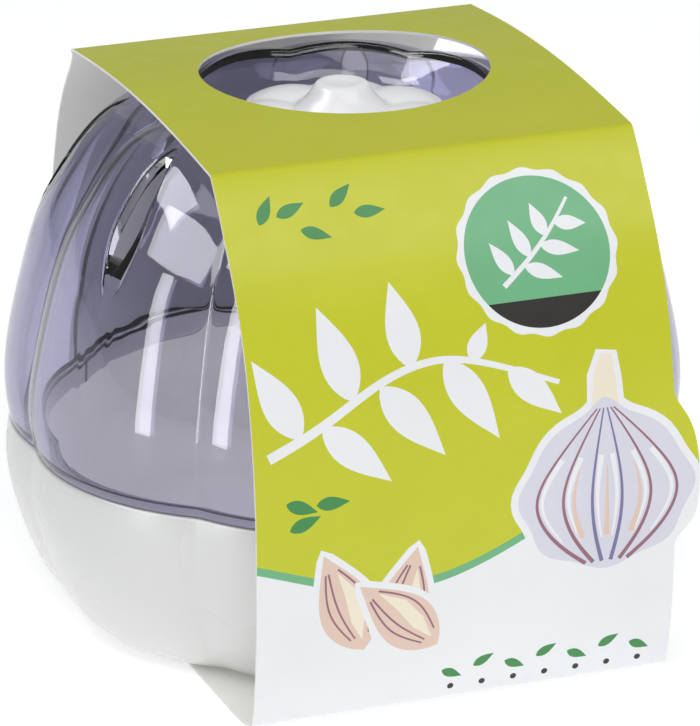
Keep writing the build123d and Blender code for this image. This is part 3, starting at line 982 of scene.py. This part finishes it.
def make_sleeve():
    L = PATH_S[-1]
    outline = sheet_outline()
    a = np.linspace(0, 2 * math.pi, 120, endpoint=False)
    window = [(WIN_X + WIN_A * math.cos(t), s_of_y_top(WIN_Y + WIN_B * math.sin(t)))
              for t in a]
    art = artwork()
    xs = np.r_[np.linspace(-HALF_W, HALF_W, 25), 39.9]
    verts, edges = [], []
    index = {}
    for k, s_ in enumerate(PATH_S):
        for c, x in enumerate(xs):
            index[(k, c)] = len(verts)
            verts.append((x, s_))
    for k in range(len(PATH_S)):
        for c in range(len(xs)):
            if c + 1 < len(xs):
                edges.append((index[(k, c)], index[(k, c + 1)]))
            if k + 1 < len(PATH_S):
                edges.append((index[(k, c)], index[(k + 1, c)]))
    box = np.array([[-HALF_W - 0.001, -0.001], [39.9, L + 0.001]])

    def add(poly):
        p = [(min(max(x, box[0][0] - 3), box[1][0] + 3), y) for x, y in poly]
        m = len(verts)
        verts.extend(p)
        n = len(p)
        edges.extend((m + i, m + (i + 1) % n) for i in range(n))
    add(outline)
    add(window)
    for _, poly in art:
        add(poly)
    from mathutils.geometry import delaunay_2d_cdt
    v2, _e, tri, *_ = delaunay_2d_cdt([Vector(v) for v in verts], edges, [], 0,
                                      1e-4)
    v2 = np.array([tuple(v) for v in v2])
    tri = np.array([tuple(f) for f in tri if len(f) == 3])
    cen = v2[tri].mean(1)
    d1 = v2[tri[:, 1]] - v2[tri[:, 0]]
    d2 = v2[tri[:, 2]] - v2[tri[:, 0]]
    area2 = d1[:, 0] * d2[:, 1] - d1[:, 1] * d2[:, 0]
    keep = inside(outline, cen) & ~inside(window, cen) & (np.abs(area2) > 1e-7)
    tri, cen, area2 = tri[keep], cen[keep], area2[keep]
    tri[area2 < 0] = tri[area2 < 0][:, ::-1]
    ink = np.zeros(len(tri), int)
    for name, poly in art:
        ink[inside(poly, cen)] = INKS.index(name)
    used = np.unique(tri)
    remap = -np.ones(len(v2), int)
    remap[used] = np.arange(len(used))
    tri = remap[tri]
    v2 = v2[used]
    s_ = np.clip(v2[:, 1], 0, L)
    y = np.interp(s_, PATH_S, PATH[:, 0])
    z = np.interp(s_, PATH_S, PATH[:, 1])
    ny = np.interp(s_, PATH_S, PATH_N[:, 0])
    nz = np.interp(s_, PATH_S, PATH_N[:, 1])
    ln = np.hypot(ny, nz)
    ny, nz = ny / ln, nz / ln
    outer = np.stack([v2[:, 0], y, z], 1)
    inner = outer - CARD_T * np.stack([0 * ny, ny, nz], 1)
    n = len(v2)
    # the sheet's two ends meet under the bulb
    def weld(i):
        return i
    ends = {}
    rep = np.arange(n)
    for i in np.flatnonzero(v2[:, 1] < 1e-3):
        ends[round(v2[i, 0], 3)] = i
    for i in np.flatnonzero(v2[:, 1] > L - 1e-3):
        j = ends.get(round(v2[i, 0], 3))
        if j is not None:
            rep[i] = j
    tri = rep[tri]
    # x to the right and s up the front: this order faces outward there
    p = outer[tri[:, 0]], outer[tri[:, 1]], outer[tri[:, 2]]
    nrm = np.cross(p[1] - p[0], p[2] - p[0])
    ref = np.stack([0 * ny, ny, nz], 1)[tri[:, 0]]
    flip = (nrm * ref).sum(1) < 0
    tri[flip] = tri[flip][:, ::-1]
    faces = [tuple(t) for t in tri]
    mats = list(ink)
    faces += [tuple(t[::-1] + n) for t in tri]
    mats += [len(INKS)] * len(tri)
    count = {}
    for t in tri:
        for u, v in ((t[0], t[1]), (t[1], t[2]), (t[2], t[0])):
            key = (min(u, v), max(u, v))
            count[key] = (count[key][0] + 1, u, v) if key in count else (1, u, v)
    for c, u, v in count.values():
        if c == 1:
            faces.append((v, u, u + n, v + n))
            mats.append(len(INKS) + 1)
    ob = mesh_object("sleeve_card", np.concatenate([outer, inner]), faces, 40.0)
    return ob, mats


def card_ink(name, rgb, rough=0.34, vary=4):
    m = Nodes("card_" + name)
    lo = srgb(*[max(0, c - vary) for c in rgb])
    col = m.ramp(m.noise(55.0, 4.0, 0.6), [(0.3, lo), (0.7, srgb(*rgb))])
    m.link(col, m.bsdf.inputs["Base Color"])
    m.link(m.map(m.noise(240.0, 2.0), 0.3, 0.7, rough - 0.04, rough + 0.06),
           m.bsdf.inputs["Roughness"])
    m.bump(m.noise(600.0, 3.0), 0.05, 0.0001)
    m.set(Coat_Weight=0.1, Coat_Roughness=0.18, Specular_IOR_Level=0.3)
    return m.mat


# ---------------------------------------------------------------------------
# build
# ---------------------------------------------------------------------------
base = make_base()
lid = make_lid()
cap = make_cap()
base.data.materials.append(white_plastic("white_plastic_gloss"))
base.data.materials.append(white_plastic("white_plastic_inside_painted_glow", painted_glow=0.27))
# the bowl's inner wall and floor take the copy with painted glow, emission standing in for light
# through the wall
for poly in base.data.polygons:
    c, nrm = poly.center, poly.normal
    if c.z > 0.0065 and nrm.x * c.x + nrm.y * c.y < -0.002 * 0.02 \
            or 0.0022 < c.z <= 0.0065 and nrm.z > 0.3:
        poly.material_index = 1
# the cap carries a faint painted glow, emission 0.03
cap.data.materials.append(white_plastic("white_plastic_cap_painted_glow", (238, 238, 239),
                                        (243, 243, 244), 0.03))
lid.data.materials.append(clear_plastic("clear_plastic_tinted"))

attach(base, "base")
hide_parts("base")
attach(lid, "lid")
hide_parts("lid")
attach(cap, "cap")
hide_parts("stem_cap")

sleeve, sleeve_mats = make_sleeve()
INK_RGB = {"lime": (194, 198, 44), "white": (232, 233, 235),
           "emerald": (112, 178, 130), "green": (66, 138, 76),
           "ink": (52, 50, 47), "cream": (236, 226, 205),
           "blush": (222, 196, 180), "mauve": (150, 105, 120),
           "mist": (213, 212, 224), "slate": (120, 118, 158)}
for name in INKS:
    sleeve.data.materials.append(card_ink(name, INK_RGB[name]))
board = card_ink("board_inside_painted_glow", (232, 231, 228), 0.6, 6)
painted_glow = board.node_tree.nodes["Principled BSDF"]
# painted glow: emission stands in for the little of the light on the sheet that comes through it
painted_glow.inputs["Emission Color"].default_value = (0.93, 0.94, 0.86, 1)
painted_glow.inputs["Emission Strength"].default_value = 0.14
sleeve.data.materials.append(board)
sleeve.data.materials.append(card_ink("cut_edge", (236, 235, 230), 0.7, 8))
sleeve.data.polygons.foreach_set("material_index", np.array(sleeve_mats, "i"))
sleeve.data.update()
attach(sleeve, "sleeve")
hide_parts("sleeve")
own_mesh(sleeve)

# ---------------------------------------------------------------------------
# floor, light, camera
# ---------------------------------------------------------------------------
me = bpy.data.meshes.new("floor")
me.from_pydata([(-4, -4, 0), (4, -4, 0), (4, 4, 0), (-4, 4, 0)], [], [(0, 1, 2, 3)])
floor = bpy.data.objects.new("floor", me)
bpy.context.scene.collection.objects.link(floor)
fm = Nodes("floor_pale")
fm.bsdf.inputs["Base Color"].default_value = (0.95, 0.95, 0.95, 1)
fm.set(Roughness=0.6, Emission_Strength=0.37)
fm.bsdf.inputs["Emission Color"].default_value = (1, 1, 1, 1)
me.materials.append(fm.mat)

world = bpy.data.worlds.new("studio")
bpy.context.scene.world = world
world.use_nodes = True
bg = world.node_tree.nodes["Background"]
bg.inputs["Color"].default_value = (0.9, 0.92, 0.95, 1)
bg.inputs["Strength"].default_value = 0.40


def area(name, loc, aim, size, power, color=(1, 1, 1), shine_only=False):
    d = bpy.data.lights.new(name, "AREA")
    d.shape = "RECTANGLE"
    d.size, d.size_y = size
    d.energy = power
    d.color = color
    o = bpy.data.objects.new(name, d)
    bpy.context.scene.collection.objects.link(o)
    o.location = loc
    o.rotation_mode = "QUATERNION"
    o.rotation_quaternion = (Vector(aim) - Vector(loc)).to_track_quat("-Z", "Y")
    # a card that only shows as a reflection
    o.visible_diffuse = not shine_only
    return o


def around(az, el, dist, lift=0.06):
    """Place at an azimuth and height seen from the bulb, degrees, metres."""
    a, e = math.radians(az), math.radians(el)
    return (dist * math.sin(a) * math.cos(e), -dist * math.cos(a) * math.cos(e),
            lift + dist * math.sin(e))


area("key_top", (-0.35, -0.25, 1.15), (0, 0, 0.04), (0.8, 0.8), 4.4)
area("soft_high_left", around(-110, 47, 1.1), (0, 0, 0.07), (0.75, 0.34), 6.0,
     shine_only=True)
area("soft_mid_left", around(-76, 37, 1.1), (0, 0, 0.07), (0.72, 0.28), 4.2,
     shine_only=True)
area("strip_left", (-0.40 * math.sin(math.radians(75)), -0.40 * math.cos(math.radians(75)), 0.133),
     (0, 0, 0.133), (0.055, 0.26), 0.36, shine_only=True)
area("front_key", around(10, 46, 1.3), (0, 0, 0.06), (1.5, 0.30), 5.6)
area("front_low", around(-12, 16, 1.5), (0, 0, 0.05), (0.7, 0.4), 0.6)

az, el = math.radians(-21.0), math.radians(20.65)
back = Vector((math.sin(az) * math.cos(el), -math.cos(az) * math.cos(el), math.sin(el)))
right = Vector((math.cos(az), math.sin(az), 0.0))
up = back.cross(right)
cam_data = bpy.data.cameras.new("camera")
cam = bpy.data.objects.new("camera", cam_data)
bpy.context.scene.collection.objects.link(cam)
cam_data.sensor_width = 36.0
cam_data.sensor_fit = "HORIZONTAL"
cam_data.lens = 280.03
cam.location = (right * 1.32 + up * 34.54 + Vector((0, 0, 2.2)) + back * 913.8) * MM
cam.rotation_mode = "QUATERNION"
cam.rotation_quaternion = (-back).to_track_quat("-Z", "Y")
cam_data.clip_start, cam_data.clip_end = 0.05, 20.0
bpy.context.scene.camera = cam

scene = bpy.context.scene
scene.view_settings.view_transform = "Standard"
scene.view_settings.look = "None"
